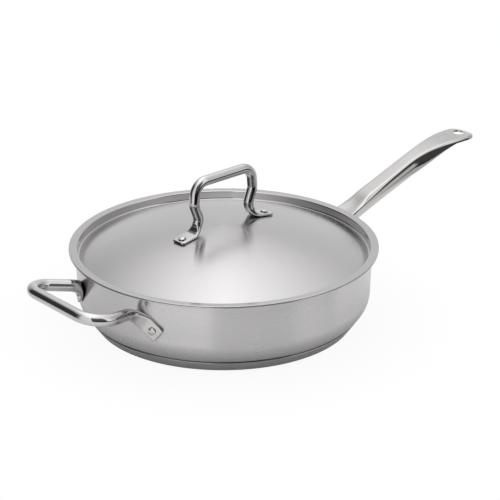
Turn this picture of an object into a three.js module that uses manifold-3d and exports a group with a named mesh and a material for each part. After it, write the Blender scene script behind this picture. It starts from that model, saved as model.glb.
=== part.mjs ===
// Saute pan with a drop-in lid, a hollow stick handle and a helper loop, in millimetres.
// The origin is the middle of the underside, +Z is up and +X points along the stick handle.
import * as THREE from 'three';
import { mergeVertices } from 'three/addons/utils/BufferGeometryUtils.js';
import Module from 'manifold-3d';

// Pan bowl
const panInnerDiameter = 280;
const panSheet = 1;
const rimHeight = 74.2;
const cornerRadius = 25;
const rimFlareRadius = 3.5;
const rimLip = 4.2;

// Sandwich base
const baseHeight = 6.5;
const baseInset = 17;
const baseFlare = 5.3;
const capSheet = 0.8;
const capCornerRadius = 3;
const coreClearance = 0.3;

// Lid
const lidSheet = 0.9;
const lidTurn = THREE.MathUtils.degToRad(2.5);
const flangeOverhang = 0.1;
const skirtClearance = 0.4;
const stepDepth = 9;
const valleyRadius = 1.35;
const flangeBendRadius = 2.75;
const domeRise = 21.6;
const domeMargin = 6;

// Lid handle, a bent rod with flattened feet
const lidRod = 10;
const lidRivetRadius = 52;
const lidFootTip = 6.5;
const lidFootHold = 9.5;
const lidFootRun = 17.4;
const lidFootWidth = 15.5;
const lidFootThickness = 2.2;
const lidFootBend = 8;
const lidFootBlend = 13;
const lidPinchHalf = 31;
const lidPinchRise = 12;
const lidKinkHalf = 37;
const lidKinkRise = 27.6;
const lidTopHalf = 35;
const lidTopRise = 49.4;
const lidLegBend = 6.5;
const lidTopBend = 13;

// Helper handle, a bent rod with flattened feet
const helperRod = 11.6;
const helperReach = 55.5;
const helperBarHalf = 59.4;
const helperBarDrop = 6.6;
const helperBarBend = 20.5;
const helperRivetAngle = THREE.MathUtils.degToRad(23.7);
const helperRivetDrop = 32.2;
const helperFootSlope = THREE.MathUtils.degToRad(39);
const helperFootTip = 8;
const helperFootHold = 7;
const helperFootRun = 24.4;
const helperFootWidth = 16.5;
const helperFootThickness = 2.6;
const helperFootBend = 11;
const helperFootBlend = 22;

// Stick handle, a tube pressed flat into a foot at the pan and a tongue at its far end
const stickWall = 0.8;
const stickSeam = 0.3;
const stickRootDrop = 9.4;
const stickFootLength = 33;
const stickFootHalf = 12.8;
const stickFootBend = 16;
const stickRise = THREE.MathUtils.degToRad(21.15);
const tongueRise = 49.4;
const tongueBend = 190;
const tongueLength = 20.4;
const tongueHalf = 15.3;
const tongueRound = 15.5;
const tongueTipHalf = 3.5;
const tongueBlend = 66;
const waistHalf = 8.5;
const waistRun = 90;
const gripDepth = 14;
const gripBelly = 2.6;
const gripEnd = 31;
const gripTaper = 52;
const gripSwell = 15;
const gripCrown = 3;
const crownBlend = 36;
const crownRun = 100;
const dishDepth = 1;
const dishLength = 34;
const hollowStop = 4;
const hangHole = 12.5;
const hangHoleInset = 14.2;

// Rivets
const rivetShank = 4.8;
const rivetHead = 7.6;
const rivetHeadHeight = 1.7;
const rivetTail = 8.4;
const rivetTailHeight = 1.2;
const rivetEdge = 0.7;
const stickRivetHalf = 6.8;
const stickRivetRise = 11;
const boreClearance = 0.3;

// Gap between pieces that rest on each other
const seatGap = 0.3;

// Corners of a foot, and how square the flattened and swelled sections are
const footCornerRadius = 3;
const footSquareness = 6;
const topSquareness = 4;
const gripSquareness = 2.6;
const rootCrownSquareness = 3;
const tongueCrownSquareness = 16;

// Facets
const turnSteps = 60;
const rodSides = 12;
const stickSides = 18;
const rivetSides = 12;
const holeSides = 24;
const sheetFacetDepth = 0.2;
const rodFacetTurn = THREE.MathUtils.degToRad(15);
const domeSteps = 6;
const coreSteps = 3;
const footSteps = 3;
const tipSteps = 5;
const rootSteps = 6;
const gripSteps = 16;
const fineSteps = 24;

// Sizes that follow from the ones above
const innerRadius = panInnerDiameter / 2;
const outerRadius = innerRadius + panSheet;
const rimRadius = outerRadius + rimFlareRadius + rimLip;
const baseRadius = outerRadius - baseInset;
const capTopRadius = baseRadius + baseFlare;
const flangeRadius = rimRadius + flangeOverhang;
const flangeTop = rimHeight + seatGap + lidSheet;
const skirtRadius = innerRadius - skirtClearance - lidSheet / 2;
const apexHeight = flangeTop + domeRise;
const domeDrop = domeRise + stepDepth;
const domeRadius = (skirtRadius ** 2 + domeDrop ** 2) / (2 * domeDrop);
const stickFootThickness = 2 * stickWall + stickSeam;
const stickFootSagitta = stickFootHalf ** 2 / (2 * outerRadius);

const wasm = await Module();
wasm.setup();

const { clamp, lerp, smoothstep } = THREE.MathUtils;
const up = new THREE.Vector3(0, 0, 1);
const point = (x, y, z) => new THREE.Vector3(x, y, z);
const corner = (at, radius = 0) => ({ at, radius });
const turnTo = (from, to) => new THREE.Quaternion().setFromUnitVectors(from, to);

// A run of points through corners, where a corner with a radius is an arc of steps by a rule.
function roundedRun(corners, stepsFor) {
  const points = [corners[0].at];
  for (let i = 1; i < corners.length - 1; i += 1) {
    const { at, radius } = corners[i];
    const back = corners[i - 1].at.clone().sub(at).normalize();
    const ahead = corners[i + 1].at.clone().sub(at).normalize();
    const half = back.angleTo(ahead) / 2;
    const middle = back.clone().add(ahead).setLength(radius / Math.sin(half)).add(at);
    const start = back.multiplyScalar(radius / Math.tan(half)).add(at).sub(middle);
    const end = ahead.multiplyScalar(radius / Math.tan(half)).add(at).sub(middle);
    const axis = start.clone().cross(end).normalize();
    const turn = Math.PI - 2 * half;
    const steps = radius > 0 ? spaced(0, turn, stepsFor(turn, radius)) : [0];
    points.push(...steps.map((angle) => start.clone().applyAxisAngle(axis, angle).add(middle)));
  }
  points.push(corners.at(-1).at);
  return points;
}

// Rules for the steps of an arc: a sheet by the depth of a facet, a rod by the turn of a facet.
const facetTurn = (radius) => 2 * Math.acos(Math.max(1 - sheetFacetDepth / radius, 0));
const sheetSteps = (turn, radius) => Math.ceil(turn / facetTurn(radius));
const rodSteps = (turn) => Math.ceil(turn / rodFacetTurn);

// Unit direction of a run at each of its points.
function directions(run) {
  return run.map((at, i) => {
    const before = i > 0 ? at.clone().sub(run[i - 1]).normalize() : point(0, 0, 0);
    const after = i < run.length - 1 ? run[i + 1].clone().sub(at).normalize() : point(0, 0, 0);
    return before.add(after).normalize();
  });
}

// Distance along a run from its first point to each of its points.
function distances(run) {
  let total = 0;
  return run.map((at, i) => {
    total += i > 0 ? at.distanceTo(run[i - 1]) : 0;
    return total;
  });
}

// Evenly spaced values from one number to another, with both ends.
function spaced(from, to, steps) {
  return Array.from({ length: steps + 1 }, (_, k) => lerp(from, to, k / steps));
}

// Merged vertices, no triangle without area and all faces turned outwards.
function closed(geometry) {
  geometry.deleteAttribute('normal');
  geometry.deleteAttribute('uv');
  const merged = mergeVertices(geometry);
  const places = merged.getAttribute('position');
  const index = [...merged.getIndex().array];
  const faces = [];
  let volume = 0;
  for (let i = 0; i < index.length; i += 3) {
    const [a, b, c] = index.slice(i, i + 3);
    if (a !== b && b !== c && c !== a) {
      const [pa, pb, pc] = [a, b, c].map((k) => new THREE.Vector3().fromBufferAttribute(places, k));
      volume += pa.dot(pb.cross(pc));
      faces.push([a, b, c]);
    }
  }
  merged.setIndex(faces.flatMap(([a, b, c]) => (volume > 0 ? [a, b, c] : [a, c, b])));
  return merged;
}

// A profile of radius and height pairs turned about the Z axis.
function turned(profile, steps) {
  const outline = profile.map(([radius, height]) => new THREE.Vector2(radius, height));
  return closed(new THREE.LatheGeometry(outline, steps).rotateX(Math.PI / 2));
}

// The profile of a pressed sheet: a middle line from the axis outwards, thickened to both sides.
function sheetProfile(corners, thickness) {
  const line = roundedRun(corners, sheetSteps);
  const along = directions(line);
  const sides = along.map(({ x, z }, i) => (line[i].x > 0 ? point(-z, 0, x) : up));
  const lower = line.map((at, i) => at.clone().addScaledVector(sides[i], -thickness / 2));
  const upper = line.map((at, i) => at.clone().addScaledVector(sides[i], thickness / 2));
  return [...lower, ...upper.reverse()].map((at) => [at.x, at.z]);
}

// A solid skinned over rings of points, with a flat ladder of faces across each end ring.
function loft(rings) {
  const sides = rings[0].length;
  const last = (rings.length - 1) * sides;
  const faces = [];
  const quad = (a, b, c, d) => faces.push(a, b, c, a, c, d);
  for (let i = 0; i < last; i += sides) {
    for (let j = 0; j < sides; j += 1) {
      const next = (j + 1) % sides;
      quad(i + j, i + sides + j, i + sides + next, i + next);
    }
  }
  for (let j = 0; j < sides / 2; j += 1) {
    const far = (sides - j) % sides;
    quad(j, j + 1, sides - j - 1, far);
    quad(last + far, last + sides - j - 1, last + j + 1, last + j);
  }
  const geometry = new THREE.BufferGeometry();
  const values = rings.flat().flatMap((at) => at.toArray());
  geometry.setAttribute('position', new THREE.Float32BufferAttribute(values, 3));
  geometry.setIndex(faces);
  return closed(geometry);
}

// A point of a rounded square section with two half sizes, where power 2 gives an ellipse.
function sectionPoint(angle, across, thick, power) {
  const bulge = (value) => Math.sign(value) * Math.abs(value) ** (2 / power);
  return [across * bulge(Math.cos(angle)), thick * bulge(Math.sin(angle))];
}

// Angles of the points round a section.
const sectionAngles = (sides) => Array.from({ length: sides }, (_, j) => (2 * Math.PI * j) / sides);

// Share of the half width that a rounded end takes away, at a distance from that end.
const endTrim = (far, round) => 1 - Math.sqrt(1 - Math.max(1 - far / round, 0) ** 2);

// Distances from a rounded end at which its outline needs a point.
function endStations(round, steps) {
  return spaced(0, Math.PI / 2, steps).map((turn) => round * (1 - Math.cos(turn)));
}

// Closed geometry as a solid that can be cut.
function asSolid(geometry) {
  const vertProperties = geometry.getAttribute('position').array;
  const triVerts = new Uint32Array(geometry.getIndex().array);
  return new wasm.Manifold(new wasm.Mesh({ numProp: 3, vertProperties, triVerts }));
}

// Closed geometry with some others taken out of it.
function cut(geometry, tools) {
  const solid = tools.reduce((left, tool) => left.subtract(asSolid(tool)), asSolid(geometry));
  const { vertProperties, triVerts } = solid.getMesh();
  const result = new THREE.BufferGeometry();
  result.setAttribute('position', new THREE.BufferAttribute(vertProperties, 3));
  result.setIndex([...triVerts]);
  return result;
}

// A round cutter, centred on a point and lying along an axis.
function bore(diameter, length, sides, { at, axis }) {
  const cutter = new THREE.CylinderGeometry(diameter / 2, diameter / 2, length, sides);
  cutter.rotateX(Math.PI / 2).applyQuaternion(turnTo(up, axis));
  return closed(cutter.translate(at.x, at.y, at.z));
}

const rivetBore = (seat) => bore(rivetShank + 2 * boreClearance, 2 * rivetHead, rivetSides, seat);

// A rivet through a seat on the inner face of a sheet, closing a grip of some thickness.
function rivet({ at, axis }, grip) {
  const inside = -seatGap;
  const outside = grip + seatGap;
  const profile = [
    [0, inside - rivetTailHeight],
    [rivetTail / 2 - rivetEdge, inside - rivetTailHeight + rivetEdge / 2],
    [rivetTail / 2, inside],
    [rivetShank / 2, inside],
    [rivetShank / 2, outside],
    [rivetHead / 2, outside],
    [rivetHead / 2, outside + rivetHeadHeight - rivetEdge],
    [rivetHead / 2 - rivetEdge, outside + rivetHeadHeight],
    [0, outside + rivetHeadHeight],
  ];
  const geometry = turned(profile, rivetSides).applyQuaternion(turnTo(up, axis));
  return geometry.translate(at.x, at.y, at.z);
}

// A rivet seat and its mirror image.
const seatPair = ({ at, axis }, mirror) => [
  { at, axis },
  { at: at.clone().multiply(mirror), axis: axis.clone().multiply(mirror) },
];

// A rod that is its own mirror image: half of it runs from a flattened foot to the middle.
// The foot lies flat on the sheet of a seat, with its end beyond the rivet, and the rod swells out of it
// away from that sheet.
function footedRod({ seat, sheet, toEnd, foot, legs, rod, mirror }) {
  const level = sheet + seatGap + rod / 2;
  const overRivet = seat.at.clone().addScaledVector(seat.axis, level);
  const along = (far) => overRivet.clone().addScaledVector(toEnd, far);
  const tip = endStations(footCornerRadius, footSteps).map((far) => corner(along(foot.tip - far)));
  const swelling = [corner(along(-foot.hold)), corner(along(-foot.run), foot.bend)];
  const half = roundedRun([...tip, ...swelling, ...legs], rodSteps);
  const ways = directions(half);
  const reach = distances(half);
  const flatUntil = foot.tip + foot.hold;
  const facing = seat.axis.clone();
  const rings = half.map((at, i) => {
    facing.applyQuaternion(turnTo(ways[Math.max(i - 1, 0)], ways[i]));
    const across = ways[i].clone().cross(facing);
    const flat = 1 - smoothstep(reach[i], flatUntil, flatUntil + foot.blend);
    const wide = lerp(rod, foot.width, flat) / 2 - footCornerRadius * endTrim(reach[i], footCornerRadius);
    const thick = lerp(rod, foot.thickness, flat) / 2;
    return sectionAngles(rodSides).map((angle) => {
      const [u, v] = sectionPoint(angle, wide, thick, lerp(2, footSquareness, flat));
      return at.clone().addScaledVector(across, u).addScaledVector(facing, v + thick - rod / 2);
    });
  });
  const otherHalf = rings.slice(0, -1).map((ring) => ring.map((at) => at.clone().multiply(mirror)));
  const whole = loft([...rings, ...otherHalf.reverse()]);
  return cut(whole, seatPair(seat, mirror).map(rivetBore));
}

// Pan bowl: one sheet with a wide bottom corner and a rim flared outwards
function panShell(seats) {
  const middle = innerRadius + panSheet / 2;
  const floor = baseHeight + panSheet / 2;
  const lip = rimHeight - panSheet / 2;
  const profile = sheetProfile([
    corner(point(0, 0, floor)),
    corner(point(middle, 0, floor), cornerRadius - panSheet / 2),
    corner(point(middle, 0, lip), rimFlareRadius + panSheet / 2),
    corner(point(rimRadius, 0, lip)),
  ], panSheet);
  return cut(turned(profile, turnSteps), seats.map(rivetBore));
}

// Height of the bowl's underside at a radius, where its bottom corner starts to rise
function underside(radius) {
  const out = Math.max(radius - (outerRadius - cornerRadius), 0);
  return baseHeight + cornerRadius - Math.sqrt(cornerRadius ** 2 - out ** 2);
}

// Steel cap under the base, its side leaning out round the core to just below the bowl's corner
function baseCap() {
  const profile = sheetProfile([
    corner(point(0, 0, capSheet / 2)),
    corner(point(baseRadius, 0, capSheet / 2), capCornerRadius - capSheet / 2),
    corner(point(capTopRadius, 0, underside(capTopRadius - capSheet) - seatGap)),
  ], capSheet);
  return turned(profile, turnSteps);
}

// Aluminium disc that fills the cap and follows the bowl's bottom corner
function baseCore() {
  const footRadius = baseRadius - capSheet / 2 - coreClearance;
  const topRadius = capTopRadius - capSheet - coreClearance;
  const flatRadius = Math.min(outerRadius - cornerRadius, topRadius);
  const upper = spaced(topRadius, flatRadius, coreSteps).map((r) => point(r, 0, underside(r) - seatGap));
  const outline = roundedRun([
    corner(point(0, 0, capSheet)),
    corner(point(footRadius, 0, capSheet), capCornerRadius - capSheet),
    ...upper.map((at) => corner(at)),
    corner(point(0, 0, baseHeight - seatGap)),
  ], sheetSteps);
  return turned(outline.map((at) => [at.x, at.z]), turnSteps);
}

// Height of the lid's upper face over its dome, at a radius
const domeHeight = (radius) => apexHeight - domeRadius + Math.sqrt(domeRadius ** 2 - radius ** 2);

// Lid: a dome, a step down inside the bowl and a flat flange that lies on the rim
function lidShell(seats) {
  const middleOf = (height) => height - lidSheet / 2;
  const domeRadii = spaced(0, skirtRadius - domeMargin, domeSteps);
  const profile = sheetProfile([
    ...domeRadii.map((radius) => corner(point(radius, 0, middleOf(domeHeight(radius))))),
    corner(point(skirtRadius, 0, middleOf(flangeTop - stepDepth)), valleyRadius),
    corner(point(skirtRadius, 0, middleOf(flangeTop)), flangeBendRadius),
    corner(point(flangeRadius, 0, middleOf(flangeTop))),
  ], lidSheet);
  return cut(turned(profile, turnSteps), seats.map(rivetBore));
}

// Where a lid rivet starts, on the underside of the dome
const acrossLid = point(-1, 1, 1);
const lidSlope = Math.asin(lidRivetRadius / domeRadius);
const lidAxis = point(Math.sin(lidSlope), 0, Math.cos(lidSlope));
const lidSeat = {
  at: point(lidRivetRadius, 0, domeHeight(lidRivetRadius)).addScaledVector(lidAxis, -lidSheet),
  axis: lidAxis,
};

// Lid handle: legs that pinch in above the feet and splay out again below the top bar
function lidHandle() {
  const legPoint = (half, rise) => point(half, 0, apexHeight + rise);
  return footedRod({
    seat: lidSeat,
    sheet: lidSheet,
    toEnd: point(Math.cos(lidSlope), 0, -Math.sin(lidSlope)),
    foot: {
      tip: lidFootTip,
      hold: lidFootHold,
      run: lidFootRun,
      width: lidFootWidth,
      thickness: lidFootThickness,
      bend: lidFootBend,
      blend: lidFootBlend,
    },
    legs: [
      corner(legPoint(lidPinchHalf, lidPinchRise), lidLegBend),
      corner(legPoint(lidKinkHalf, lidKinkRise), lidLegBend),
      corner(legPoint(lidTopHalf, lidTopRise), lidTopBend),
      corner(legPoint(0, lidTopRise)),
    ],
    rod: lidRod,
    mirror: acrossLid,
  });
}

// Where a helper rivet starts, on the inner face of the wall opposite the stick handle
const acrossPan = point(1, -1, 1);
const helperAxis = point(-Math.cos(helperRivetAngle), Math.sin(helperRivetAngle), 0);
const helperSeat = {
  at: helperAxis.clone().multiplyScalar(innerRadius).setZ(rimHeight - helperRivetDrop),
  axis: helperAxis,
};

// Helper handle: a loop that widens away from the pan, on feet that slant down the wall
function helperHandle() {
  const alongWall = point(Math.sin(helperRivetAngle), Math.cos(helperRivetAngle), 0);
  const sideways = alongWall.multiplyScalar(Math.cos(helperFootSlope));
  const barX = -(outerRadius + helperReach);
  const barHeight = rimHeight - helperBarDrop;
  return footedRod({
    seat: helperSeat,
    sheet: panSheet,
    toEnd: sideways.addScaledVector(up, -Math.sin(helperFootSlope)),
    foot: {
      tip: helperFootTip,
      hold: helperFootHold,
      run: helperFootRun,
      width: helperFootWidth,
      thickness: helperFootThickness,
      bend: helperFootBend,
      blend: helperFootBlend,
    },
    legs: [
      corner(point(barX, helperBarHalf, barHeight), helperBarBend),
      corner(point(barX, 0, barHeight)),
    ],
    rod: helperRod,
    mirror: acrossPan,
  });
}

// Middle line of the stick handle: up the wall from its foot, out along the grip and level in the tongue
const stickRootHeight = rimHeight - stickRootDrop;
const stickFootEnd = stickRootHeight - stickFootLength;
const tongueHeight = stickRootHeight + tongueRise;
const stickFootX = outerRadius + seatGap + stickWall - stickFootSagitta;
const stickTurn = Math.PI / 2 - stickRise;
const footBendStart = stickFootLength - stickFootBend * Math.tan(stickTurn / 2);
const footBendEnd = footBendStart + stickFootBend * stickTurn;
const tongueCornerX = stickFootX + tongueRise / Math.tan(stickRise);
const stickTipX = tongueCornerX + tongueBend * Math.tan(stickRise / 2) + tongueLength;
const stickRun = roundedRun([
  corner(point(stickFootX, 0, stickFootEnd)),
  corner(point(stickFootX, 0, stickRootHeight), stickFootBend),
  corner(point(tongueCornerX, 0, tongueHeight), tongueBend),
  corner(point(stickTipX, 0, tongueHeight)),
], () => fineSteps);
const stickReach = distances(stickRun);
const stickLength = stickReach.at(-1);

// Where a stick handle rivet starts, on the inner face of the wall
const stickRivetTurn = Math.asin(stickRivetHalf / outerRadius);
const stickAxis = point(Math.cos(stickRivetTurn), Math.sin(stickRivetTurn), 0);
const stickSeat = {
  at: stickAxis.clone().multiplyScalar(innerRadius).setZ(stickFootEnd + stickRivetRise),
  axis: stickAxis,
};

// Sizes of the stick handle's section at a distance from the foot's end
function stickShape(fromFoot) {
  const fromTip = stickLength - fromFoot;
  const swell = smoothstep(fromFoot, footBendStart, footBendEnd + gripSwell);
  const taperStart = gripEnd + gripTaper;
  const taper = 1 - clamp((taperStart - fromTip) / gripTaper, 0, 1) ** 2;
  const belly = gripBelly * clamp((fromFoot - footBendEnd) / (stickLength - taperStart - footBendEnd), 0, 1);
  const toTongue = 1 - smoothstep(fromTip, tongueLength, tongueLength + tongueBlend);
  const toFoot = clamp((footBendEnd + waistRun - fromFoot) / waistRun, 0, 1) ** 2;
  const onWall = 1 - smoothstep(fromFoot, footBendEnd, footBendEnd + crownBlend);
  const toFlat = smoothstep(fromFoot, footBendEnd, footBendEnd + crownRun);
  const inDish = Math.sin(Math.PI * clamp((fromFoot - footBendEnd) / dishLength, 0, 1)) ** 2;
  const width = waistHalf + (tongueHalf - waistHalf) * toTongue + (stickFootHalf - waistHalf) * toFoot;
  const footTrim = footCornerRadius * endTrim(fromFoot, footCornerRadius);
  const tongueTrim = width * endTrim(fromTip, tongueRound);
  return {
    width,
    half: Math.max(width - footTrim - tongueTrim, tongueTipHalf),
    hollow: lerp(stickSeam, gripDepth + belly - 2 * stickWall, swell) * taper,
    crown: gripCrown * (1 - onWall),
    crownPower: lerp(rootCrownSquareness, tongueCrownSquareness, toFlat),
    sag: stickFootSagitta * onWall + dishDepth * inDish,
    tube: swell * taper,
  };
}

// Ring of points round the stick handle's outer skin, or round its hollow with the wall inset
function stickRing(fromFoot, inset) {
  const i = Math.max(stickReach.findIndex((reach) => reach >= fromFoot), 1);
  const way = stickRun[i].clone().sub(stickRun[i - 1]).normalize();
  const at = stickRun[i - 1].clone().addScaledVector(way, fromFoot - stickReach[i - 1]);
  const lift = point(-way.z, 0, way.x);
  const { width, half, hollow, crown, crownPower, sag, tube } = stickShape(clamp(fromFoot, 0, stickLength));
  const lowerPower = lerp(footSquareness, gripSquareness, tube);
  const reach = half - inset;
  const fill = (reach / (width - inset)) ** 2;
  const bow = (across, power) => fill * (1 - Math.abs(across / reach) ** power);
  return sectionAngles(stickSides).map((angle) => {
    const isTop = angle <= Math.PI;
    const thick = isTop ? stickWall - inset : stickWall + hollow - inset;
    const [across, height] = sectionPoint(angle, reach, thick, isTop ? topSquareness : lowerPower);
    const arch = crown * bow(across, crownPower) - sag * bow(across, 2);
    const raised = height + arch * (isTop ? 1 : 1 - tube);
    return at.clone().add(point(0, across, 0)).addScaledVector(lift, raised);
  });
}

// Stick handle: the outer skin less its hollow, which opens in the seam at the foot's end
function stickHandle() {
  const stations = [
    ...endStations(footCornerRadius, footSteps),
    ...spaced(footBendStart, footBendEnd, rootSteps),
    ...spaced(footBendEnd, stickLength - tongueRound, gripSteps).slice(1, -1),
    ...endStations(tongueRound, tipSteps).map((far) => stickLength - far).reverse(),
  ];
  const inHollow = stations.filter((far) => stickLength - far > gripEnd + hollowStop);
  const skin = loft(stations.map((far) => stickRing(far, 0)));
  const hollow = loft([-stickSeam, ...inHollow].map((far) => stickRing(far, stickWall)));
  const hole = { at: point(stickTipX - hangHoleInset, 0, tongueHeight), axis: up };
  const holeCutter = bore(hangHole, 2 * hangHole, holeSides, hole);
  return cut(skin, [hollow, holeCutter, ...seatPair(stickSeat, acrossPan).map(rivetBore)]);
}

// Finishes: satin pressed sheet, polished handles, bright rivets and the bare core
const satinSteel = { color: 0xb9b7b4, roughness: 0.34, metalness: 1 };
const polishedSteel = { color: 0xd2d0cd, roughness: 0.1, metalness: 1 };
const rivetSteel = { color: 0xc6c4c1, roughness: 0.2, metalness: 1 };
const castAluminium = { color: 0xaeb0b2, roughness: 0.5, metalness: 1 };

function piece(name, geometry, finish) {
  geometry.computeVertexNormals();
  const mesh = new THREE.Mesh(geometry, new THREE.MeshStandardMaterial(finish));
  mesh.name = name;
  return mesh;
}

// A left and a right rivet through a pair of seats
function rivetPair(name, seat, mirror, grip) {
  const [left, right] = seatPair(seat, mirror).map((place) => rivet(place, grip));
  return [piece(`${name}_left`, left, rivetSteel), piece(`${name}_right`, right, rivetSteel)];
}

const stickSeats = seatPair(stickSeat, acrossPan);
const helperSeats = seatPair(helperSeat, acrossPan);

const pan = new THREE.Group();
pan.add(
  piece('pan_shell', panShell([...stickSeats, ...helperSeats]), satinSteel),
  piece('base_core', baseCore(), castAluminium),
  piece('base_cap', baseCap(), satinSteel),
  piece('stick_handle', stickHandle(), polishedSteel),
  ...rivetPair('stick_rivet', stickSeat, acrossPan, panSheet + seatGap + stickFootThickness),
  piece('helper_handle', helperHandle(), polishedSteel),
  ...rivetPair('helper_rivet', helperSeat, acrossPan, panSheet + seatGap + helperFootThickness),
);

const lid = new THREE.Group();
lid.rotation.z = lidTurn;
lid.add(
  piece('lid_shell', lidShell(seatPair(lidSeat, acrossLid)), satinSteel),
  piece('lid_handle', lidHandle(), polishedSteel),
  ...rivetPair('lid_rivet', lidSeat, acrossLid, lidSheet + seatGap + lidFootThickness),
);

const sautePan = new THREE.Group();
sautePan.add(pan, lid);

export default sautePan;
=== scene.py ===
import math

import bmesh
import bpy
import numpy as np
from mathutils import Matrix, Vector


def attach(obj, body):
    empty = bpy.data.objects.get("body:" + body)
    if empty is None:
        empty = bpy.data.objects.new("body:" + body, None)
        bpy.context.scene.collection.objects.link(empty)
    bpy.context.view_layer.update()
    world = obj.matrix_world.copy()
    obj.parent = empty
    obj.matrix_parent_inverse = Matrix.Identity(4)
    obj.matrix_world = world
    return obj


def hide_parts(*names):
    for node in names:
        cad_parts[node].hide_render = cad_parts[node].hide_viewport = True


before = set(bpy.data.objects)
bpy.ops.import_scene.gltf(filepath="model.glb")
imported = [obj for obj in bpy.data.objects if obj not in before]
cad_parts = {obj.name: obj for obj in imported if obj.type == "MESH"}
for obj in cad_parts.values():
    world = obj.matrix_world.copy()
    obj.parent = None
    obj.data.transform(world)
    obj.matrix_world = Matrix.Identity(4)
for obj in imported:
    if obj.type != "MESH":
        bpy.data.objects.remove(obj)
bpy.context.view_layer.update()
print("frame:", len(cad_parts), "CAD nodes")

mm = 0.001  # shapes are worked out in millimetres, meshes are in metres
seatGap = 0.3  # air between pieces that rest on each other
tiny = 1e-9  # guards against division by zero and rounding at edges
mergeGap = 2e-7  # points nearer than this, in metres, are one point
crumbSize = 1e-7  # shorter edges, in metres, are dissolved
sharpAngle = math.radians(50)  # steeper edges are shaded as creases


# smooth 0 to 1 between two values: 3t^2 - 2t^3
def smoothStep(value, start, end):
    t = np.clip((value - start) / (end - start), 0, 1)
    return t * t * (3 - 2 * t)


# straight mix of two values
def mix(a, b, t):
    return a + (b - a) * t


# vectors scaled to length 1
def unit(vectors):
    return vectors / np.linalg.norm(vectors, axis=-1, keepdims=True)


# signed power of a sine or cosine, which makes a circle into a superellipse
def bulge(value, power):
    return np.sign(value) * np.abs(value) ** (2 / power)


# share of a half width lost to a rounded end: 1 - sqrt(1 - (1 - far/round)^2)
def endTrim(far, roundness):
    return 1 - np.sqrt(1 - np.clip(1 - far / roundness, 0, 1) ** 2)


# straight legs through corners (point, radius), each radius a tangent arc, legs cut into short steps
def roundedRun(corners, arcSteps, legStep):
    at = [np.array(c[0], float) for c in corners]
    parts = [at[0][None]]
    for i in range(1, len(at) - 1):
        radius = corners[i][1]
        if radius == 0:
            parts.append(at[i][None])
            continue
        back, ahead = unit(at[i - 1] - at[i]), unit(at[i + 1] - at[i])
        half = math.acos(np.clip(back @ ahead, -1, 1)) / 2
        middle = at[i] + unit(back + ahead) * radius / math.sin(half)
        out = unit(at[i] + back * radius / math.tan(half) - middle)
        turn = np.linspace(0, math.pi - 2 * half, arcSteps + 1)[:, None]
        parts.append(middle + radius * (np.cos(turn) * out - np.sin(turn) * back))
    parts.append(at[-1][None])
    knots = np.concatenate(parts)
    gaps = np.linalg.norm(np.diff(knots, axis=0), axis=1)
    filled = [np.linspace(a, b, max(int(g / legStep), 1), endpoint=False)
              for a, b, g in zip(knots[:-1], knots[1:], gaps)]
    return np.concatenate(filled + [knots[-1:]])


# unit direction at each point, the mean of the steps before and after it
def directionsOf(run):
    steps = unit(np.diff(run, axis=0))
    return unit(np.concatenate([steps[:1], steps]) + np.concatenate([steps, steps[-1:]]))


# distance along a run to each point
def distancesOf(run):
    return np.concatenate([[0], np.cumsum(np.linalg.norm(np.diff(run, axis=0), axis=1))])


# quads between neighbouring rows and columns of a grid, joined round where it wraps
def gridFaces(rows, columns, wrap, first=0):
    index = first + np.arange(rows * columns).reshape(rows, columns)
    if wrap:
        index = np.concatenate([index, index[:, :1]], axis=1)
    return np.stack([index[:-1, :-1], index[1:, :-1], index[1:, 1:], index[:-1, 1:]], -1).reshape(-1, 4)


# corner values of the same quads, so that a seam keeps its own UV values
def gridCorners(u, v):
    uv = np.stack(np.broadcast_arrays(u[:, None], v[None, :]), -1)
    return np.stack([uv[:-1, :-1], uv[1:, :-1], uv[1:, 1:], uv[:-1, 1:]], 2).reshape(-1, 4, 2)


# a mesh of one or more grids (points, wrap, u, v, faces to keep), doubles merged and normals outward
def gridPiece(name, grids, body, nodes, material):
    points, faces, corners, first = [], [], [], 0
    for g in grids:
        rows, columns = g["points"].shape[:2]
        quads = gridFaces(rows, columns, g["wrap"], first)
        keep = g.get("keep", np.ones(len(quads), bool))
        points.append(g["points"].reshape(-1, 3) * mm)
        faces.append(quads[keep])
        corners.append(gridCorners(g["u"], g["v"])[keep])
        first += rows * columns
    used, index = np.unique(np.concatenate(faces), return_inverse=True)
    mesh = bpy.data.meshes.new(name)
    mesh.from_pydata(np.concatenate(points)[used].tolist(), [], index.reshape(-1, 4).tolist())
    layer = mesh.uv_layers.new(name="along")
    layer.data.foreach_set("uv", np.concatenate(corners).astype(np.float32).ravel())
    work = bmesh.new()
    work.from_mesh(mesh)
    bmesh.ops.remove_doubles(work, verts=work.verts, dist=mergeGap)
    bmesh.ops.dissolve_degenerate(work, edges=work.edges, dist=crumbSize)
    bmesh.ops.recalc_face_normals(work, faces=work.faces)
    if work.calc_volume(signed=True) < 0:
        bmesh.ops.reverse_faces(work, faces=work.faces)
    work.to_mesh(mesh)
    work.free()
    mesh.polygons.foreach_set("use_smooth", np.ones(len(mesh.polygons), bool))
    mesh.set_sharp_from_angle(angle=sharpAngle)
    mesh.materials.append(material)
    piece = bpy.data.objects.new(name, mesh)
    bpy.context.scene.collection.objects.link(piece)
    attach(piece, body)
    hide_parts(*nodes)
    print("piece:", name, len(mesh.polygons), "faces")


# a profile of radius and height turned round the Z axis: (r cos a, r sin a, z), u along it and v round it
def turnedGrid(profile, steps):
    angle = np.linspace(0, 2 * math.pi, steps, endpoint=False)
    radius, height = profile[:, :1], profile[:, 1:]
    points = np.stack([radius * np.cos(angle), radius * np.sin(angle), height + 0 * angle], -1)
    return {"points": points, "wrap": True, "u": distancesOf(profile) * mm, "v": np.linspace(0, 1, steps + 1)}


sheetSteps = dict(arc=16, edge=9)


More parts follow.
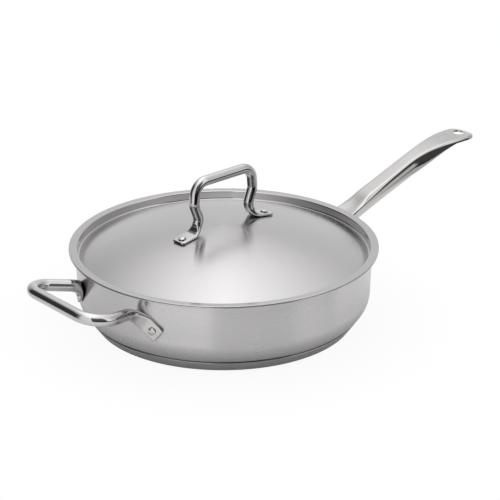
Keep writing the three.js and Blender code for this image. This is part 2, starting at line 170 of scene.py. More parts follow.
# a sheet's outline: its middle line moved half a thickness to each side, with a half round free edge
def sheetOutline(corners, thickness, legStep):
    line = roundedRun([((r, 0, z), radius) for r, z, radius in corners], sheetSteps["arc"], legStep)
    way = directionsOf(line)
    side = np.stack([-way[:, 2], 0 * way[:, 1], way[:, 0]], -1)
    side[0] = (0, 0, 1)
    turn = np.linspace(0, math.pi, sheetSteps["edge"])[1:-1, None]
    edge = line[-1] + (np.sin(turn) * way[-1] - np.cos(turn) * side[-1]) * thickness / 2
    outline = np.concatenate([line - side * thickness / 2, edge, (line + side * thickness / 2)[::-1]])
    return outline[:, [0, 2]]


# points turned about the Z axis
def turnedAbout(points, angle):
    c, s = math.cos(angle), math.sin(angle)
    return points @ np.array([[c, s, 0], [-s, c, 0], [0, 0, 1]])


# a new material, its node tree and its shader
def newFinish(name):
    material = bpy.data.materials.new(name)
    material.use_nodes = True
    tree = material.node_tree
    shader = next(n for n in tree.nodes if n.type == "BSDF_PRINCIPLED")
    return material, tree, shader


# a node with settings or socket values given by name
def addNode(tree, kind, **values):
    node = tree.nodes.new(kind)
    for key, value in values.items():
        if hasattr(node, key):
            setattr(node, key, value)
        else:
            node.inputs[key].default_value = value
    return node


# one step of arithmetic on numbers and sockets
def mathNode(tree, operation, *values):
    node = addNode(tree, "ShaderNodeMath", operation=operation)
    for socket, value in zip(node.inputs, values):
        if isinstance(value, (int, float)):
            socket.default_value = value
        else:
            tree.links.new(value, socket)
    return node.outputs[0]


# a value carried from one range to another and held at its ends
def rangeNode(tree, value, low, high, toLow, toHigh, kind="LINEAR"):
    node = addNode(tree, "ShaderNodeMapRange", interpolation_type=kind)
    for name, number in (("From Min", low), ("From Max", high), ("To Min", toLow), ("To Max", toHigh)):
        node.inputs[name].default_value = number
    tree.links.new(value, node.inputs["Value"])
    return node.outputs["Result"]


noiseSpan = (0.35, 0.65)  # where a noise mostly lies


# a tone that wanders a little with a noise
def wanderingTone(tree, noise, tone, swing):
    blend = addNode(tree, "ShaderNodeMix", data_type="RGBA")
    blend.inputs[6].default_value = [c * (1 - swing) for c in tone] + [1]
    blend.inputs[7].default_value = [min(c * (1 + swing), 1) for c in tone] + [1]
    tree.links.new(rangeNode(tree, noise, *noiseSpan, 0, 1), blend.inputs[0])
    return blend.outputs[2]


# lineTurn is how fast the lines change round the axis, against across them
spun = dict(lineTurn=0.004, lineDetail=5.0, lineGrain=0.62, lineShare=0.7, lineHeight=0.00002,
            cloudScale=22.0, cloudDetail=3.0, cloudGrain=0.55, cloudShare=0.3, swing=0.02, axisGuard=1e-8)


# spun sheet: lines of finite length round the axis, a noise in (radius, height, cos a, sin a), a slow cloud
# of tone, and highlights spread across the lines
def spunFinish(name, tone, rough, spread, lineScale, lineDepth, smooth=None):
    material, tree, shader = newFinish(name)
    place = addNode(tree, "ShaderNodeTexCoord").outputs["Object"]
    axes = addNode(tree, "ShaderNodeSeparateXYZ")
    tree.links.new(place, axes.inputs[0])
    x, y, z = axes.outputs
    square = mathNode(tree, "ADD", mathNode(tree, "MULTIPLY", x, x), mathNode(tree, "MULTIPLY", y, y))
    radius = mathNode(tree, "SQRT", mathNode(tree, "ADD", square, spun["axisGuard"]))
    cosine, sine = [mathNode(tree, "MULTIPLY", mathNode(tree, "DIVIDE", way, radius), spun["lineTurn"])
                    for way in (x, y)]
    ring = addNode(tree, "ShaderNodeCombineXYZ")
    for part, socket in zip((radius, z, cosine), ring.inputs):
        tree.links.new(part, socket)
    lines = addNode(tree, "ShaderNodeTexNoise", noise_dimensions="4D", Scale=lineScale,
                    Detail=spun["lineDetail"], Roughness=spun["lineGrain"])
    tree.links.new(ring.outputs[0], lines.inputs["Vector"])
    tree.links.new(sine, lines.inputs["W"])
    cloud = addNode(tree, "ShaderNodeTexNoise", Scale=spun["cloudScale"], Detail=spun["cloudDetail"],
                    Roughness=spun["cloudGrain"])
    tree.links.new(place, cloud.inputs["Vector"])
    grain = mathNode(tree, "ADD", mathNode(tree, "MULTIPLY", lines.outputs["Fac"], spun["lineShare"]),
                     mathNode(tree, "MULTIPLY", cloud.outputs["Fac"], spun["cloudShare"]))
    roughness = rangeNode(tree, grain, *noiseSpan, *rough)
    if smooth:  # a smoother ring between two radii, as a press leaves it
        inside = rangeNode(tree, radius, *smooth["start"], 1, smooth["share"], "SMOOTHSTEP")
        outside = rangeNode(tree, radius, *smooth["end"], smooth["share"], 1, "SMOOTHSTEP")
        roughness = mathNode(tree, "MULTIPLY", roughness, mathNode(tree, "MAXIMUM", inside, outside))
    tree.links.new(roughness, shader.inputs["Roughness"])
    tree.links.new(wanderingTone(tree, grain, tone, spun["swing"]), shader.inputs["Base Color"])
    bump = addNode(tree, "ShaderNodeBump", Strength=lineDepth, Distance=spun["lineHeight"])
    tree.links.new(lines.outputs["Fac"], bump.inputs["Height"])
    tree.links.new(bump.outputs[0], shader.inputs["Normal"])
    tangent = addNode(tree, "ShaderNodeTangent", direction_type="UV_MAP", uv_map="along")
    tree.links.new(tangent.outputs[0], shader.inputs["Tangent"])
    shader.inputs["Metallic"].default_value = 1.0
    shader.inputs["Anisotropic"].default_value = spread
    return material


polish = dict(wipeScale=90.0, wipeDetail=4.0, wipeGrain=0.6, wipeSpan=(0.3, 0.7), swing=0.03,
              waveScale=55.0, waveDetail=1.0, waveHeight=0.0002)


# polished bar: nearly a mirror, with faint wipe marks in its gloss and the finest waviness
def polishedFinish(name, tone, rough, waviness):
    material, tree, shader = newFinish(name)
    place = addNode(tree, "ShaderNodeTexCoord").outputs["Object"]
    wipe = addNode(tree, "ShaderNodeTexNoise", Scale=polish["wipeScale"], Detail=polish["wipeDetail"],
                   Roughness=polish["wipeGrain"])
    tree.links.new(place, wipe.inputs["Vector"])
    marks = wipe.outputs["Fac"]
    tree.links.new(rangeNode(tree, marks, *polish["wipeSpan"], *rough), shader.inputs["Roughness"])
    tree.links.new(wanderingTone(tree, marks, tone, polish["swing"]), shader.inputs["Base Color"])
    wave = addNode(tree, "ShaderNodeTexNoise", Scale=polish["waveScale"], Detail=polish["waveDetail"])
    tree.links.new(place, wave.inputs["Vector"])
    bump = addNode(tree, "ShaderNodeBump", Strength=waviness, Distance=polish["waveHeight"])
    tree.links.new(wave.outputs["Fac"], bump.inputs["Height"])
    tree.links.new(bump.outputs[0], shader.inputs["Normal"])
    shader.inputs["Metallic"].default_value = 1.0
    return material


lidGroove = dict(start=(0.137, 0.1384), end=(0.1408, 0.1414), share=0.4)
bowlSteel = spunFinish("brushedBowlSteel", tone=(0.62, 0.607, 0.612), rough=(0.27, 0.285), spread=0.95,
                       lineScale=700.0, lineDepth=0.03)
lidSteel = spunFinish("spunLidSteel", tone=(0.49, 0.48, 0.484), rough=(0.19, 0.22), spread=0.95,
                      lineScale=900.0, lineDepth=0.03, smooth=lidGroove)
baseSteel = spunFinish("brushedBaseSteel", tone=(0.49, 0.48, 0.484), rough=(0.22, 0.28), spread=0.9,
                       lineScale=900.0, lineDepth=0.25)
handleSteel = polishedFinish("polishedHandleSteel", tone=(0.56, 0.551, 0.547), rough=(0.02, 0.06),
                             waviness=0.02)
stickSteel = polishedFinish("polishedStickSteel", tone=(0.51, 0.502, 0.498), rough=(0.07, 0.12),
                            waviness=0.02)
rivetSteel = polishedFinish("rivetSteel", tone=(0.53, 0.522, 0.518), rough=(0.1, 0.18), waviness=0.04)
coreAluminium = polishedFinish("bareAluminium", tone=(0.66, 0.67, 0.68), rough=(0.42, 0.56), waviness=0.2)
print("finishes ready")

bowl = dict(inner=140, sheet=1, rim=74.2, floor=6.5, corner=25, flare=3.5, lip=4.2, lean=1.9,
            leanFrom=36, leanBend=150, legStep=5, steps=240)
bowl["outer"] = bowl["inner"] + bowl["sheet"]


# how far the wall has leant out at a height: a straight line from leanFrom up to the rim
def wallLean(height):
    return bowl["lean"] * (height - bowl["leanFrom"]) / (bowl["rim"] - bowl["leanFrom"])


# bowl: a flat floor, a wide corner, a wall that leans out from leanFrom up and a rim flared outwards, one
# sheet turned round the axis
def makeBowl():
    half = bowl["sheet"] / 2
    middle = bowl["inner"] + half
    low = bowl["floor"] + half
    top = bowl["rim"] - half
    edge = bowl["outer"] + bowl["flare"] + bowl["lip"] - half
    outline = sheetOutline([(0, low, 0), (middle, low, bowl["corner"] - half),
                            (middle, bowl["leanFrom"], bowl["leanBend"]),
                            (middle + bowl["lean"], top, bowl["flare"] + half), (edge, top, 0)],
                           bowl["sheet"], bowl["legStep"])
    grid = turnedGrid(outline, bowl["steps"])
    gridPiece("panBowl", [grid], "pan", ["pan_shell"], bowlSteel)


makeBowl()

baseCap = dict(foot=124, top=131.33, topHeight=10.55, sheet=0.8, corner=3, legStep=5, steps=240)


# base cap: a flat disc whose side leans out to just under the bowl's corner
def makeBaseCap():
    half = baseCap["sheet"] / 2
    outline = sheetOutline([(0, half, 0), (baseCap["foot"], half, baseCap["corner"] - half),
                            (baseCap["top"], baseCap["topHeight"], 0)], baseCap["sheet"], baseCap["legStep"])
    grid = turnedGrid(outline, baseCap["steps"])
    gridPiece("baseCap", [grid], "pan", ["base_cap"], baseSteel)


makeBaseCap()

lid = dict(sheet=0.9, skirt=141.0, flangeTop=75.4, flange=148.65, step=9.85, valley=2.2, bend=0.7,
           rise=21.6, margin=6, turn=math.radians(2.5), rings=50, legStep=3, steps=240)
lid["apex"] = lid["flangeTop"] + lid["rise"]
lid["drop"] = lid["rise"] + lid["step"]
lid["ball"] = (lid["skirt"] ** 2 + lid["drop"] ** 2) / (2 * lid["drop"])


# height of the dome's upper face: apex - R + sqrt(R^2 - r^2)
def domeHeight(radius):
    return lid["apex"] - lid["ball"] + np.sqrt(lid["ball"] ** 2 - radius ** 2)


# lid: a dome, a step up inside the bowl's wall and a flat flange over its rim, turned round the axis
def makeLid():
    half = lid["sheet"] / 2
    radii = np.linspace(0, lid["skirt"] - lid["margin"], lid["rings"])
    line = [(r, domeHeight(r) - half, 0) for r in radii]
    line += [(lid["skirt"], lid["flangeTop"] - lid["step"] - half, lid["valley"]),
             (lid["skirt"], lid["flangeTop"] - half, lid["bend"]),
             (lid["flange"] - half, lid["flangeTop"] - half, 0)]
    grid = turnedGrid(sheetOutline(line, lid["sheet"], lid["legStep"]), lid["steps"])
    gridPiece("lidDome", [grid], "lid", ["lid_shell"], lidSteel)


makeLid()

rodFoot = dict(corner=3, squareness=6, edge=0.9, sides=64, endSteps=14, arcSteps=26, legStep=0.8)


# half a rod from its foot's end to its middle, then the same rings mirrored: a superellipse carried along the
# run, flat on the foot and round after it, with its underside kept on the sheet while it swells
def footedRodGrid(rod, foot, seat, axis, toEnd, sheet, legs, mirror):
    level = seat + axis * (sheet + seatGap + rod / 2)
    far = rodFoot["corner"] * (1 - np.cos(np.linspace(0, math.pi / 2, rodFoot["endSteps"])))
    tips = [(level + toEnd * (foot["tip"] - f), 0) for f in far]
    corners = tips + [(level - toEnd * foot["run"], foot["bend"])] + legs
    run = roundedRun(corners, rodFoot["arcSteps"], rodFoot["legStep"])
    way, reach = directionsOf(run), distancesOf(run)
    facing = np.empty_like(run)
    facing[0] = axis
    for i in range(1, len(run)):
        facing[i] = unit(facing[i - 1] - (facing[i - 1] @ way[i]) * way[i])
    across = np.cross(way, facing)
    flatUntil = foot["tip"] + foot["hold"]
    flat = 1 - smoothStep(reach, flatUntil, flatUntil + foot["blend"])
    wide = mix(rod, foot["width"], flat) / 2 - rodFoot["corner"] * endTrim(reach, rodFoot["corner"])
    thick = mix(rod, foot["thickness"], flat) / 2
    deep = thick * (1 - endTrim(reach, rodFoot["edge"]))
    angle = np.linspace(0, 2 * math.pi, rodFoot["sides"], endpoint=False)
    power = mix(2, rodFoot["squareness"], flat ** 2)[:, None]
    u = wide[:, None] * bulge(np.cos(angle), power)
    v = deep[:, None] * bulge(np.sin(angle), power) + (thick - rod / 2)[:, None]
    rings = run[:, None] + across[:, None] * u[..., None] + facing[:, None] * v[..., None]
    points = np.concatenate([rings, rings[-2::-1] * mirror])
    along = np.concatenate([reach, 2 * reach[-1] - reach[-2::-1]])
    return {"points": points, "wrap": True, "u": along * mm, "v": np.linspace(0, 1, rodFoot["sides"] + 1)}


lidHandle = dict(rod=10, rivetRadius=52, pinchBend=9, kinkBend=12, topBend=13, pinch=(31, 12),
                 kink=(37, 27.6), top=(35, 49.4),
                 foot=dict(tip=6.5, hold=9.5, run=17.4, width=15.5, thickness=2.2, bend=8, blend=13))
lidSlope = math.asin(lidHandle["rivetRadius"] / lid["ball"])
lidAxis = np.array([math.sin(lidSlope), 0, math.cos(lidSlope)])
lidRivetZ = domeHeight(lidHandle["rivetRadius"])
lidSeat = np.array([lidHandle["rivetRadius"], 0, lidRivetZ]) - lidAxis * lid["sheet"]
acrossLid = np.array([-1, 1, 1])


# lid handle: legs that pinch in above the feet, kink outwards and lean in again below the top bar
def makeLidHandle():
    bends = (("pinch", "pinchBend"), ("kink", "kinkBend"), ("top", "topBend"))
    legs = [((lidHandle[key][0], 0, lid["apex"] + lidHandle[key][1]), lidHandle[bend]) for key, bend in bends]
    legs.append(((0, 0, lid["apex"] + lidHandle["top"][1]), 0))
    toEnd = np.array([math.cos(lidSlope), 0, -math.sin(lidSlope)])
    grid = footedRodGrid(lidHandle["rod"], lidHandle["foot"], lidSeat, lidAxis, toEnd, lid["sheet"], legs,
                         acrossLid)
    grid["points"] = turnedAbout(grid["points"], lid["turn"])
    gridPiece("lidHandleRod", [grid], "lid", ["lid_handle"], handleSteel)


makeLidHandle()

helper = dict(rod=11.6, reach=55.5, barHalf=59.4, barDrop=6.6, barBend=20.5, rivetTurn=math.radians(23.7),
              rivetDrop=32.2, slope=math.radians(39),
              foot=dict(tip=8, hold=7, run=24.4, width=16.5, thickness=2.6, bend=11, blend=22))
helperAxis = np.array([-math.cos(helper["rivetTurn"]), math.sin(helper["rivetTurn"]), 0])
helperRivetZ = bowl["rim"] - helper["rivetDrop"]
helperSeat = helperAxis * (bowl["inner"] + wallLean(helperRivetZ)) + np.array([0, 0, helperRivetZ])
acrossPan = np.array([1, -1, 1])


# helper loop: feet that slant down the wall, legs that spread away from the pan and a straight bar
def makeHelper():
    alongWall = np.array([math.sin(helper["rivetTurn"]), math.cos(helper["rivetTurn"]), 0])
    toEnd = alongWall * math.cos(helper["slope"]) - np.array([0, 0, math.sin(helper["slope"])])
    barX = -(bowl["outer"] + helper["reach"])
    barZ = bowl["rim"] - helper["barDrop"]
    legs = [((barX, helper["barHalf"], barZ), helper["barBend"]), ((barX, 0, barZ), 0)]
    grid = footedRodGrid(helper["rod"], helper["foot"], helperSeat, helperAxis, toEnd, bowl["sheet"], legs,
                         acrossPan)
    gridPiece("helperLoop", [grid], "pan", ["helper_handle"], handleSteel)


makeHelper()

stick = dict(wall=0.8, seam=0.3, rootDrop=9.4, footLength=33, footHalf=12.8, footBend=16, footCorner=3,
             rise=math.radians(21.15), tongueRise=49.4, tongueBend=190, tongueLength=20.4, tongueHalf=15.3,
             tongueRound=15.5, tongueBlend=66, waistHalf=8.5, waistRun=90, depth=14, belly=2.6, gripEnd=31,
             gripTaper=52, swell=15, crown=3, crownBlend=36, rootPower=3, tonguePower=30, crownRun=100,
             dish=1, dishLength=34, hole=12.5, holeInset=14.2, footSquareness=6, topSquareness=4,
             gripSquareness=2.6, tipEdge=0.7, arcSteps=60, legStep=1.0, bodyRows=220, endRows=30, columns=48,
             holeRows=16, holeColumns=16)


# middle line of the stick: up the wall from its foot, out along the grip and level in the tongue
def makeStickRun():
    rootZ = bowl["rim"] - stick["rootDrop"]
    stick["sagitta"] = stick["footHalf"] ** 2 / (2 * bowl["outer"])
    stick["lean"] = wallLean(rootZ - stick["footBend"])
    wallX = bowl["outer"] + seatGap + stick["wall"] - stick["sagitta"]
    footX = wallX + stick["lean"]
    turn = math.pi / 2 - stick["rise"]
    stick["bendStart"] = stick["footLength"] - stick["footBend"] * math.tan(turn / 2)
    stick["bendEnd"] = stick["bendStart"] + stick["footBend"] * turn
    cornerX = wallX + stick["tongueRise"] / math.tan(stick["rise"])
    tipX = cornerX + stick["tongueBend"] * math.tan(stick["rise"] / 2) + stick["tongueLength"]
    tongueZ = rootZ + stick["tongueRise"]
    corners = [((footX, 0, rootZ - stick["footLength"]), 0), ((footX, 0, rootZ), stick["footBend"]),
               ((cornerX, 0, tongueZ), stick["tongueBend"]), ((tipX, 0, tongueZ), 0)]
    return roundedRun(corners, stick["arcSteps"], stick["legStep"])


stickRun = makeStickRun()
stickReach = distancesOf(stickRun)
stickWays = directionsOf(stickRun)
stick["length"] = stickReach[-1]


# sizes of the section at a distance from the foot's end: a half width that waists between foot and tongue,
# a depth that swells after the wall bend and tapers away into the tongue, and an arch across the top
def stickSizes(fromFoot):
    s = stick
    fromTip = s["length"] - fromFoot
    swell = smoothStep(fromFoot, s["bendStart"], s["bendEnd"] + s["swell"])
    taperStart = s["gripEnd"] + s["gripTaper"]
    taper = 1 - np.clip((taperStart - fromTip) / s["gripTaper"], 0, 1) ** 2
    belly = s["belly"] * np.clip((fromFoot - s["bendEnd"]) / (s["length"] - taperStart - s["bendEnd"]), 0, 1)
    toTongue = 1 - smoothStep(fromTip, s["tongueLength"], s["tongueLength"] + s["tongueBlend"])
    toFoot = np.clip((s["bendEnd"] + s["waistRun"] - fromFoot) / s["waistRun"], 0, 1) ** 2
    onWall = 1 - smoothStep(fromFoot, s["bendEnd"], s["bendEnd"] + s["crownBlend"])
    inDish = np.sin(math.pi * np.clip((fromFoot - s["bendEnd"]) / s["dishLength"], 0, 1)) ** 2
    width = (s["waistHalf"] + (s["tongueHalf"] - s["waistHalf"]) * toTongue
             + (s["footHalf"] - s["waistHalf"]) * toFoot)
    half = (width - s["footCorner"] * endTrim(fromFoot, s["footCorner"])
            - width * endTrim(fromTip, s["tongueRound"]))
    hollow = mix(s["seam"], s["depth"] + belly - 2 * s["wall"], swell) * taper
    ends = (1 - endTrim(fromFoot, s["tipEdge"])) * (1 - endTrim(fromTip, s["tipEdge"]))
    tube = swell * taper
    alongTop = smoothStep(fromFoot, s["bendEnd"], s["bendEnd"] + s["crownRun"])
    return dict(width=width, half=half, hollow=hollow, tube=tube, ends=ends, crown=s["crown"] * (1 - onWall),
                sag=s["sagitta"] * onWall + s["dish"] * inDish,
                crownPower=mix(s["rootPower"], s["tonguePower"], alongTop),
                topPower=mix(s["footSquareness"], s["topSquareness"], tube),
                lowPower=mix(s["footSquareness"], s["gripSquareness"], tube))


# place of the upper or the lower skin at (distance, across): a superellipse over the half width, plus a crown
# (half/width)^2 (1 - (across/half)^p) and less a sag of the same form with p = 2
def stickSkin(fromFoot, across, upper):
    z = stickSizes(fromFoot)
    thick, power, arched = -(stick["wall"] + z["hollow"]), z["lowPower"], 1 - z["tube"]
    if upper:
        thick, power, arched = stick["wall"], z["topPower"], 1
    share = np.clip(np.abs(across) * (1 + tiny) / np.maximum(z["half"], tiny), 0, 1)  # 1 at the very edge
    height = thick * z["ends"] * (1 - share ** power) ** (1 / power)
    crown = z["crown"] * (1 - share ** z["crownPower"]) - z["sag"] * (1 - share ** 2)
    height = height + arched * crown * (z["half"] / z["width"]) ** 2
    at = np.stack([np.interp(fromFoot, stickReach, stickRun[:, k]) for k in range(3)], -1)
    way = unit(np.stack([np.interp(fromFoot, stickReach, stickWays[:, k]) for k in range(3)], -1))
    lift = np.stack([-way[..., 2], 0 * across, way[..., 0]], -1)
    return at + lift * height[..., None] + across[..., None] * np.array([0, 1, 0])


# rows and columns near the hang hole pulled onto circles: a square ring of the grid becomes a round one at
# the hole and goes back to the plain grid at twice that size
def holeWarp(fromFoot, across, middle, radius, midRow):
    rows, columns = fromFoot.shape
    i = (np.arange(rows)[:, None] - midRow) / (stick["holeRows"] / 2)
    j = (columns // 2 - np.arange(columns)[None, :]) / (stick["holeColumns"] / 2)
    i, j = np.broadcast_arrays(i, j)
    ring = np.maximum(np.abs(i), np.abs(j))
    length = np.maximum(np.hypot(i, j), tiny)
    plain = np.clip(ring - 1, 0, 1)
    return (mix(middle + radius * ring * i / length, fromFoot, plain),
            mix(radius * ring * j / length, across, plain), ring)


# stick handle: an upper and a lower skin that meet at the edges, and the wall of the hang hole between them
def makeStick():
    s = stick
    middle, radius = s["length"] - s["holeInset"], s["hole"] / 2
    body = np.linspace(s["footCorner"], middle - radius, s["bodyRows"])[1:]
    inHole = np.linspace(middle - radius, middle + radius, s["holeRows"] + 1)[1:]
    quarter = np.linspace(0, math.pi / 2, s["endRows"])
    foot = s["footCorner"] * (1 - np.cos(quarter))
    tip = s["length"] - (s["length"] - inHole[-1]) * (1 - np.sin(quarter[1:]))
    far = np.concatenate([foot, body, inHole, tip])
    firstRow = len(foot) + len(body) - 1
    lastRow = firstRow + s["holeRows"]
    left, right = (s["columns"] - s["holeColumns"]) // 2, (s["columns"] + s["holeColumns"]) // 2
    angle = np.linspace(0, math.pi, s["columns"] + 1)
    sizes = stickSizes(far)
    grids, rims = [], []
    for upper, power in ((True, sizes["topPower"]), (False, sizes["lowPower"])):
        across = sizes["half"][:, None] * bulge(np.cos(angle), power[:, None])
        fromFoot, across, ring = holeWarp(far[:, None] + 0 * across, across, middle, radius,
                                          (firstRow + lastRow) / 2)
        points = stickSkin(fromFoot, across, upper)
        outside = np.maximum.reduce([ring[:-1, :-1], ring[1:, 1:], ring[1:, :-1], ring[:-1, 1:]])
        grids.append({"points": points, "wrap": False, "u": far * mm,
                      "v": np.linspace(0, 1, s["columns"] + 1), "keep": (outside > 1).ravel()})
        rims.append(np.concatenate([points[firstRow, left:right], points[firstRow:lastRow, right],
                                    points[lastRow, right:left:-1], points[lastRow:firstRow:-1, left]]))
    grids.append({"points": np.stack(rims), "wrap": True, "u": np.array([0, 2 * s["wall"] * mm]),
                  "v": np.linspace(0, 1, len(rims[0]) + 1)})
    gridPiece("stickHandle", grids, "pan", ["stick_handle"], stickSteel)


makeStick()

rivet = dict(shank=2.4, head=3.8, headHeight=1.7, headEdge=0.7, tail=4.2, tailHeight=1.2, tailEdge=0.5,
             domeSteps=12, steps=48, stickHalf=6.8, stickRise=11)


# a low dome over a radius, from its rim to its top: z = edge + (height - edge) (1 - (r/radius)^2)
def domedEnd(radius, edge, height):
    share = np.cos(np.linspace(0, math.pi / 2, rivet["domeSteps"]))
    dome = np.stack([radius * share, edge + (height - edge) * (1 - share ** 2)], -1)
    return np.concatenate([[(radius, 0)], dome])


# rivet: a tail, a shank and a domed head turned about its own axis, then set on its seat
def makeRivet(name, node, body, seat, axis, grip, turn=0.0):
    tail = domedEnd(rivet["tail"], rivet["tailEdge"], rivet["tailHeight"])[::-1] * (1, -1) - (0, seatGap)
    head = domedEnd(rivet["head"], rivet["headEdge"], rivet["headHeight"]) + (0, grip + seatGap)
    shank = np.array([(rivet["shank"], -seatGap), (rivet["shank"], grip + seatGap)])
    grid = turnedGrid(np.concatenate([tail, shank, head]), rivet["steps"])
    e1 = unit(np.cross([0, 1, 0], axis))
    basis = np.stack([e1, np.cross(axis, e1), axis])
    grid["points"] = turnedAbout(grid["points"] @ basis + seat, turn)
    gridPiece(name, [grid], body, [node], rivetSteel)


stickAngle = math.asin(rivet["stickHalf"] / bowl["outer"])
stickAxis = np.array([math.cos(stickAngle), math.sin(stickAngle), 0])
stickSeat = stickAxis * (bowl["inner"] + stick["lean"])
stickSeat[2] = bowl["rim"] - stick["rootDrop"] - stick["footLength"] + rivet["stickRise"]
stickGrip = bowl["sheet"] + seatGap + 2 * stick["wall"] + stick["seam"]
helperGrip = bowl["sheet"] + seatGap + helper["foot"]["thickness"]
lidGrip = lid["sheet"] + seatGap + lidHandle["foot"]["thickness"]
for side, pan, top in (("Left", 1, 1), ("Right", acrossPan, acrossLid)):
    end = side.lower()
    makeRivet("rivetStick" + side, "stick_rivet_" + end, "pan", stickSeat * pan, stickAxis * pan, stickGrip)
    makeRivet("rivetHelper" + side, "helper_rivet_" + end, "pan", helperSeat * pan, helperAxis * pan,
              helperGrip)
    makeRivet("rivetLid" + side, "lid_rivet_" + end, "lid", lidSeat * top, lidAxis * top, lidGrip,
              lid["turn"])

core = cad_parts["base_core"]
core.data.materials.clear()
core.data.materials.append(coreAluminium)

# the studio, seen from the pan: azimuths run right from straight behind it, and these and the heights of the
# screen and the strip are in degrees; walls are azimuths with their brightness; overheadRise is in sines
studio = dict(viewTurn=math.radians(39.6), floorRadius=0.43, floorMiddle=(-0.0771, 0.0637), floorDrop=0.0005,
              floorRings=12, floorSides=96, floorTone=(0.86, 0.86, 0.86), floorRoughness=0.9,
              shadowShare=0.07, shadowRing=(0.13, 0.25), shine=1.0, shineRing=(0.13, 0.26),
              leftFade=(-0.42, -0.12), leftShine=0.35, diffuse=0.75, overhead=2.0,
              overheadRise=(0.462, 0.99), overheadTilt=0.06, overheadSide=(0.03, 0.5), overheadFall=0.62,
              walls=[(-180, 0.11), (-173, 0.11), (-171, 1.1), (-127, 1.0), (-112, 0.2), (-100, 0.05),
                     (-62, 0.05), (-44, 0.52), (-18, 0.86), (0, 0.93), (28, 0.9), (50, 0.66), (75, 0.64),
                     (88, 0.85), (98, 0.8), (103, 1.25), (117, 1.25), (124, 0.9), (127, 0.11), (180, 0.11)],
              darkWall=0.35, screenRise=0.06, screenGlow=0.06, screen=(84, 90), screenTop=(-2, 3),
              stripTop=(-20.5, -18.5), stripFoot=(-27, -25), stripEnd=(96, 99))


# a round pale floor, a grid in (radius, angle); the camera sees it white, with a share of its own shade under
# the pan, and metal sees it white beyond the pan and dimmer to the left
def makeFloor():
    rings, sides = studio["floorRings"], studio["floorSides"]
    radius = np.linspace(0, studio["floorRadius"], rings)[:, None]
    angle = np.linspace(0, 2 * math.pi, sides, endpoint=False)
    x, y = studio["floorMiddle"]
    down = np.full((rings, sides), -studio["floorDrop"])
    points = np.stack([x + radius * np.cos(angle), y + radius * np.sin(angle), down], -1)
    mesh = bpy.data.meshes.new("studioFloor")
    mesh.from_pydata(points.reshape(-1, 3).tolist(), [], gridFaces(rings, sides, True).tolist())
    floor = bpy.data.objects.new("studioFloor", mesh)
    bpy.context.scene.collection.objects.link(floor)
    material, tree, shader = newFinish("paleFloor")
    shader.inputs["Base Color"].default_value = (*studio["floorTone"], 1)
    shader.inputs["Roughness"].default_value = studio["floorRoughness"]
    shader.inputs["Specular IOR Level"].default_value = 0.0
    length = addNode(tree, "ShaderNodeVectorMath", operation="LENGTH")
    place = addNode(tree, "ShaderNodeTexCoord").outputs["Object"]
    tree.links.new(place, length.inputs[0])
    away = length.outputs["Value"]
    shade = rangeNode(tree, away, *studio["shadowRing"], studio["shadowShare"], 0, "SMOOTHSTEP")
    gleam = rangeNode(tree, away, *studio["shineRing"], 0, studio["shine"], "SMOOTHSTEP")
    toRight = addNode(tree, "ShaderNodeVectorMath", operation="DOT_PRODUCT")
    toRight.inputs[1].default_value = (math.cos(studio["viewTurn"]), -math.sin(studio["viewTurn"]), 0)
    tree.links.new(place, toRight.inputs[0])
    fade = rangeNode(tree, toRight.outputs["Value"], *studio["leftFade"], studio["leftShine"], 1,
                     "SMOOTHSTEP")
    gleam = mathNode(tree, "MULTIPLY", gleam, fade)
    glow = addNode(tree, "ShaderNodeEmission", Strength=1.0)
    path = addNode(tree, "ShaderNodeLightPath")
    blend = addNode(tree, "ShaderNodeMixShader")
    white = mathNode(tree, "MULTIPLY", path.outputs["Is Camera Ray"], mathNode(tree, "SUBTRACT", 1.0, shade))
    shine = mathNode(tree, "MULTIPLY", path.outputs["Is Glossy Ray"], gleam)
    tree.links.new(mathNode(tree, "ADD", white, shine), blend.inputs[0])
    tree.links.new(shader.outputs[0], blend.inputs[1])
    tree.links.new(glow.outputs[0], blend.inputs[2])
    output = next(n for n in tree.nodes if n.type == "OUTPUT_MATERIAL")
    tree.links.new(blend.outputs[0], output.inputs["Surface"])
    mesh.materials.append(material)


makeFloor()


# a pair of angles in radians
def radiansOf(degrees):
    return [math.radians(d) for d in degrees]


# sines of a pair of angles, the heights at which a ray of length 1 points
def sinesOf(degrees):
    return [math.sin(angle) for angle in radiansOf(degrees)]


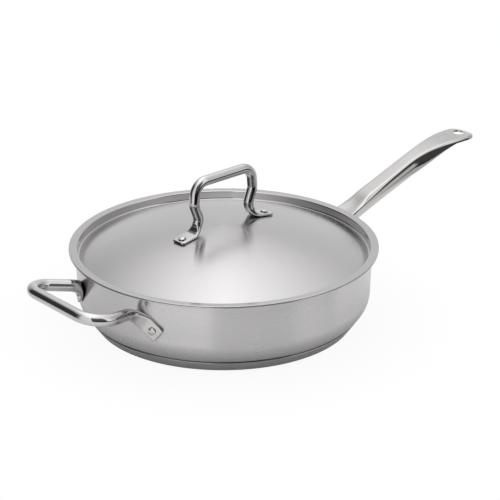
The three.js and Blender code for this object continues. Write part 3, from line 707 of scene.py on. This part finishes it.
# white for the camera; metal sees soft panels and dark screens round the pan and a wide soft light above it
def makeWorld():
    world = bpy.data.worlds.new("studioRoom")
    bpy.context.scene.world = world
    world.use_nodes = True
    tree = world.node_tree
    tree.nodes.clear()
    turn = addNode(tree, "ShaderNodeMapping", vector_type="VECTOR")
    turn.inputs["Rotation"].default_value = (0, 0, studio["viewTurn"])
    tree.links.new(addNode(tree, "ShaderNodeTexCoord").outputs["Generated"], turn.inputs["Vector"])
    axes = addNode(tree, "ShaderNodeSeparateXYZ")
    tree.links.new(turn.outputs[0], axes.inputs[0])
    x, y, z = axes.outputs
    azimuth = mathNode(tree, "ARCTAN2", x, y)
    ramp = addNode(tree, "ShaderNodeValToRGB")
    tree.links.new(rangeNode(tree, azimuth, -math.pi, math.pi, 0, 1), ramp.inputs[0])
    stops = ramp.color_ramp.elements
    while len(stops) < len(studio["walls"]):
        stops.new(0.5)
    for stop, (degrees, level) in zip(stops, studio["walls"]):
        stop.position = degrees / 360 + 0.5
        stop.color = (*[level / studio["overhead"]] * 3, 1)
    walls = mathNode(tree, "MULTIPLY", ramp.outputs["Color"], studio["overhead"])
    right = rangeNode(tree, azimuth, *radiansOf(studio["screen"]), 0, 1)
    below = rangeNode(tree, z, *sinesOf(studio["screenTop"]), 1, 0)
    strip = mathNode(tree, "MULTIPLY", rangeNode(tree, z, *sinesOf(studio["stripTop"]), 1, 0),
                     rangeNode(tree, z, *sinesOf(studio["stripFoot"]), 0, 1))
    strip = mathNode(tree, "MULTIPLY", strip, rangeNode(tree, azimuth, *radiansOf(studio["stripEnd"]), 1, 0))
    dark = mathNode(tree, "MULTIPLY", mathNode(tree, "MULTIPLY", right, below),
                    mathNode(tree, "SUBTRACT", 1.0, strip))
    screened = mathNode(tree, "SUBTRACT", 1.0, dark)
    walls = mathNode(tree, "MULTIPLY", walls, mathNode(tree, "MAXIMUM", screened, studio["screenGlow"]))
    raised = rangeNode(tree, ramp.outputs["Color"], 0, studio["darkWall"], studio["screenRise"], 0)
    leant = mathNode(tree, "ADD", z, mathNode(tree, "MULTIPLY", y, studio["overheadTilt"]))
    lifted = mathNode(tree, "SUBTRACT", leant, raised)
    above = rangeNode(tree, lifted, *studio["overheadRise"], 0, 1, "SMOOTHSTEP")
    panel = rangeNode(tree, mathNode(tree, "ABSOLUTE", x), *studio["overheadSide"], studio["overhead"],
                      studio["overhead"] * studio["overheadFall"])
    room = mathNode(tree, "ADD", mathNode(tree, "MULTIPLY", walls, mathNode(tree, "SUBTRACT", 1.0, above)),
                    mathNode(tree, "MULTIPLY", above, panel))
    path = addNode(tree, "ShaderNodeLightPath")
    seen, shiny = path.outputs["Is Camera Ray"], path.outputs["Is Glossy Ray"]
    plain = mathNode(tree, "SUBTRACT", 1.0, mathNode(tree, "MAXIMUM", seen, shiny))
    level = mathNode(tree, "ADD", mathNode(tree, "MULTIPLY", shiny, room),
                     mathNode(tree, "ADD", seen, mathNode(tree, "MULTIPLY", plain, studio["diffuse"])))
    light = addNode(tree, "ShaderNodeBackground", Color=(1, 1, 1, 1))
    tree.links.new(level, light.inputs["Strength"])
    output = addNode(tree, "ShaderNodeOutputWorld")
    tree.links.new(light.outputs[0], output.inputs["Surface"])


makeWorld()

camera = dict(target=(0.019328, -0.015990, 0.069204), distance=2.35, elevation=math.radians(22.592),
              lens=176.135, sensor=36)


# camera at the photograph's place
def makeCamera():
    data = bpy.data.cameras.new("photoCamera")
    data.lens = camera["lens"]
    data.sensor_width = camera["sensor"]
    view = bpy.data.objects.new("photoCamera", data)
    bpy.context.scene.collection.objects.link(view)
    flat = math.cos(camera["elevation"])
    back = Vector((-flat * math.sin(studio["viewTurn"]), -flat * math.cos(studio["viewTurn"]),
                   math.sin(camera["elevation"])))
    view.location = Vector(camera["target"]) + back * camera["distance"]
    view.rotation_euler = (-back).to_track_quat("-Z", "Y").to_euler()
    bpy.context.scene.camera = view


makeCamera()
bpy.context.scene.view_settings.view_transform = "Standard"
print("studio ready")
